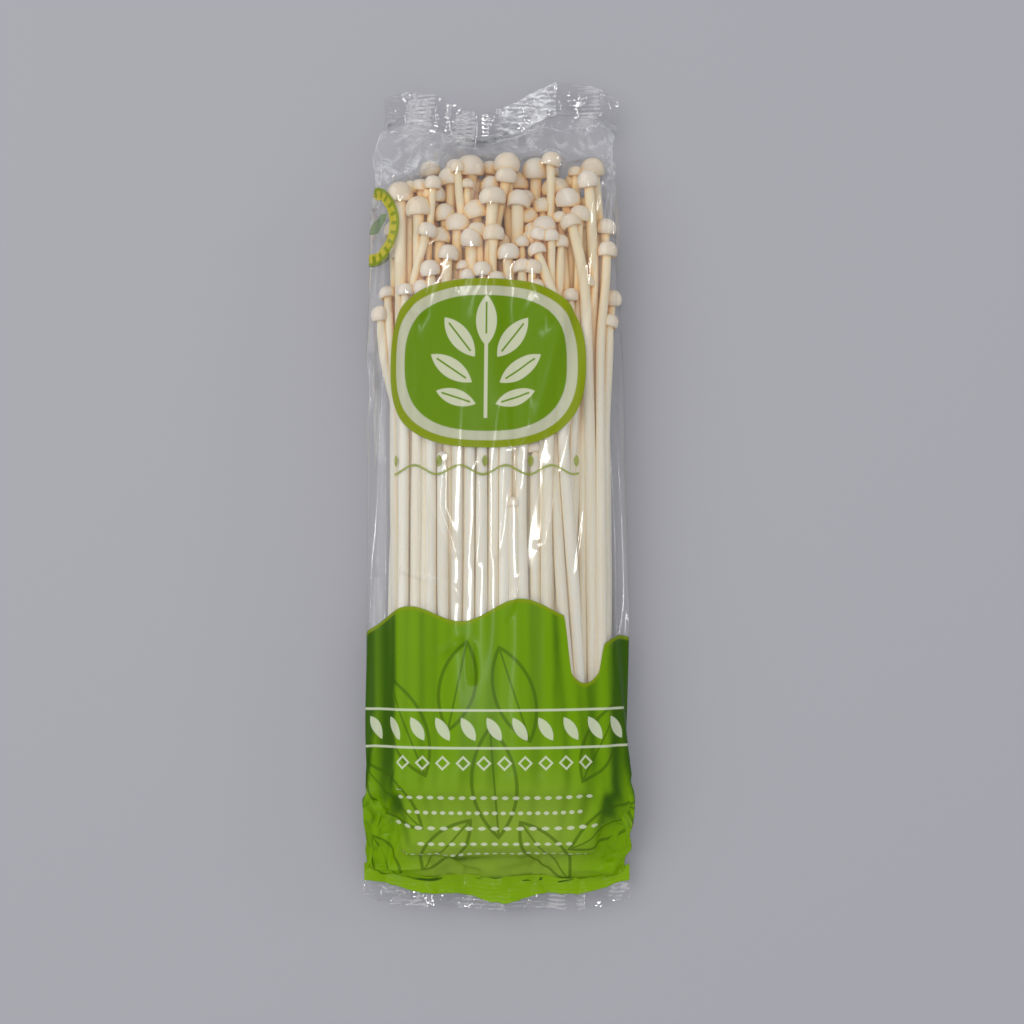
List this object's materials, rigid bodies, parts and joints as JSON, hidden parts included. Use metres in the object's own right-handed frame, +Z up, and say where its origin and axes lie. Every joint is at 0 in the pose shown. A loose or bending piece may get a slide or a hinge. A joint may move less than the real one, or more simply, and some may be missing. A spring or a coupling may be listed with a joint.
{
  "type": "enoki mushroom bunch in a clear film pack",
  "caption": "Bunch of long thin cream mushrooms with small round caps, grown from one fused base, lying in a sealed pillow pack of clear printed film.",
  "frame": {"origin": "middle of the pack's outline seen from above, on the surface that the pack lies on", "axes": "+X across the pack to the right, +Y along it from the cut base to the caps, +Z up from the back film to the front film"},
  "size_m": [0.0724, 0.21, 0.02],
  "materials": {
    "mushroom": "smooth, satin, slightly see-through flesh",
    "base": "matte, ribbed",
    "film": "clear film, printed green in places, creased",
    "seal": "clear film, crimped"
  },
  "bodies": {
    "root": {"mushroom_01": "mushroom", "mushroom_02": "mushroom", "mushroom_03": "mushroom", "mushroom_04": "mushroom", "mushroom_05": "mushroom", "mushroom_06": "mushroom", "mushroom_07": "mushroom", "mushroom_08": "mushroom", "mushroom_09": "mushroom", "mushroom_10": "mushroom", "mushroom_11": "mushroom", "mushroom_12": "mushroom", "mushroom_13": "mushroom", "mushroom_14": "mushroom", "mushroom_15": "mushroom", "mushroom_16": "mushroom", "mushroom_17": "mushroom", "mushroom_18": "mushroom", "mushroom_19": "mushroom", "mushroom_20": "mushroom", "mushroom_21": "mushroom", "mushroom_22": "mushroom", "mushroom_23": "mushroom", "mushroom_24": "mushroom", "mushroom_25": "mushroom", "mushroom_26": "mushroom", "mushroom_27": "mushroom", "mushroom_28": "mushroom", "mushroom_29": "mushroom", "mushroom_30": "mushroom", "mushroom_31": "mushroom", "mushroom_32": "mushroom", "mushroom_33": "mushroom", "mushroom_34": "mushroom", "mushroom_35": "mushroom", "mushroom_36": "mushroom", "mushroom_37": "mushroom", "mushroom_38": "mushroom", "mushroom_39": "mushroom", "mushroom_40": "mushroom", "mushroom_41": "mushroom", "mushroom_42": "mushroom", "mushroom_43": "mushroom", "mushroom_44": "mushroom", "mushroom_45": "mushroom", "mushroom_46": "mushroom", "mushroom_47": "mushroom", "mushroom_48": "mushroom", "mushroom_49": "mushroom", "mushroom_50": "mushroom", "mushroom_51": "mushroom", "mushroom_52": "mushroom", "root_base": "base", "film_front": "film", "film_back": "film", "back_fin_seal": "film", "seal_top": "seal", "seal_bottom": "seal"}
  },
  "joints": []
}
